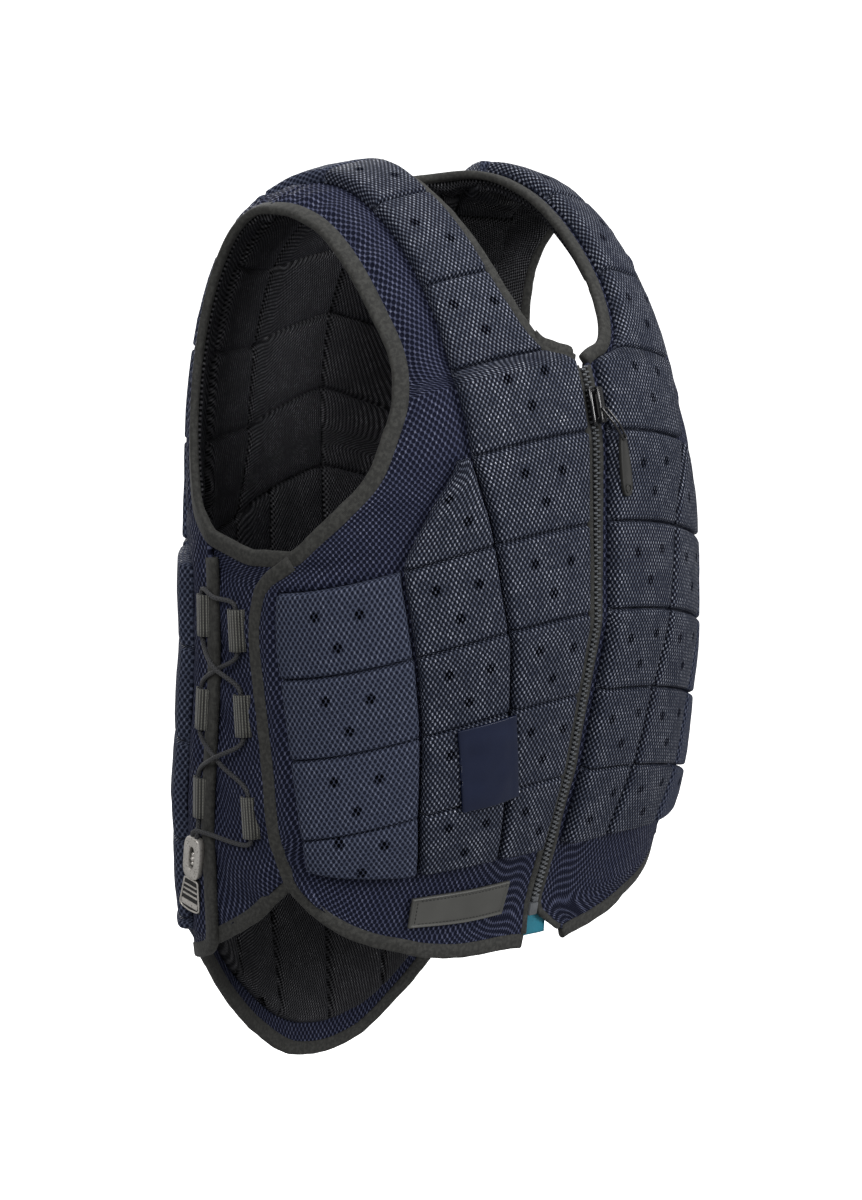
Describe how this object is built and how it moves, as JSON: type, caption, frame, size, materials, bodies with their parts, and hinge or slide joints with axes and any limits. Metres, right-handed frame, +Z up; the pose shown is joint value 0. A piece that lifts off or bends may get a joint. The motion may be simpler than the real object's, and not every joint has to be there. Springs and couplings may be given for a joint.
{
  "type": "equestrian body protector",
  "caption": "Zipped sleeveless riding vest with rows of padded mesh blocks, taped edges, quilted lining, laced sides and a long back.",
  "frame": {"origin": "on the centre line between the shoulders, level with the underside of the shoulder lining, where the wearer's shoulders carry it", "axes": "+Z up, the front faces -Y, +X is the wearer's left"},
  "size_m": [0.38, 0.2955, 0.6434],
  "materials": {
    "mesh": "navy air mesh with fine hexagonal holes",
    "block": "grey navy mesh bonded to foam, with light specks and small vents",
    "lining": "near black fine mesh lining",
    "tape": "charcoal grosgrain binding tape, stitched",
    "webbing": "dark ribbed webbing",
    "lace": "braided elastic cord",
    "zip": "black tape with dark grey moulded teeth",
    "slider": "gloss black",
    "metal": "speckled silver",
    "rubber": "matt moulded rubber",
    "leather": "navy, fine grain, stitched",
    "tag": "teal woven ribbon"
  },
  "bodies": {
    "root": {"front_cover_right": "mesh", "front_pads_a_right": "block", "front_pads_b_right": "block", "front_pads_c_right": "block", "front_lining_right": "lining", "back_pads_upper_inner_right": "block", "back_pads_upper_outer_right": "block", "back_pads_lower_inner_right": "block", "back_pads_lower_middle_right": "block", "back_pads_lower_outer_right": "block", "back_pads_side_right": "block", "side_gusset_right": "mesh", "armhole_binding_right": "tape", "front_hem_binding_right": "tape", "side_hem_binding_right": "tape", "loop_back_right_1": "webbing", "loop_back_right_2": "webbing", "loop_back_right_3": "webbing", "loop_front_right_1": "webbing", "loop_front_right_2": "webbing", "loop_front_right_3": "webbing", "cord_lock_right": "metal", "cord_lock_tab_right": "metal", "lace_right": "lace", "front_cover_left": "mesh", "front_pads_a_left": "block", "front_pads_b_left": "block", "front_pads_c_left": "block", "front_lining_left": "lining", "back_pads_upper_inner_left": "block", "back_pads_upper_outer_left": "block", "back_pads_lower_inner_left": "block", "back_pads_lower_middle_left": "block", "back_pads_lower_outer_left": "block", "back_pads_side_left": "block", "side_gusset_left": "mesh", "armhole_binding_left": "tape", "front_hem_binding_left": "tape", "side_hem_binding_left": "tape", "loop_back_left_1": "webbing", "loop_back_left_2": "webbing", "loop_back_left_3": "webbing", "loop_front_left_1": "webbing", "loop_front_left_2": "webbing", "loop_front_left_3": "webbing", "cord_lock_left": "metal", "cord_lock_tab_left": "metal", "lace_left": "lace", "back_cover": "mesh", "back_lining": "lining", "neck_binding": "tape", "tail_binding": "tape", "zip_tape": "zip", "zip_teeth": "zip", "zip_slider": "slider", "zip_pull": "rubber", "strap_keeper": "leather", "label_patch": "rubber", "inner_tag": "tag"}
  },
  "joints": []
}
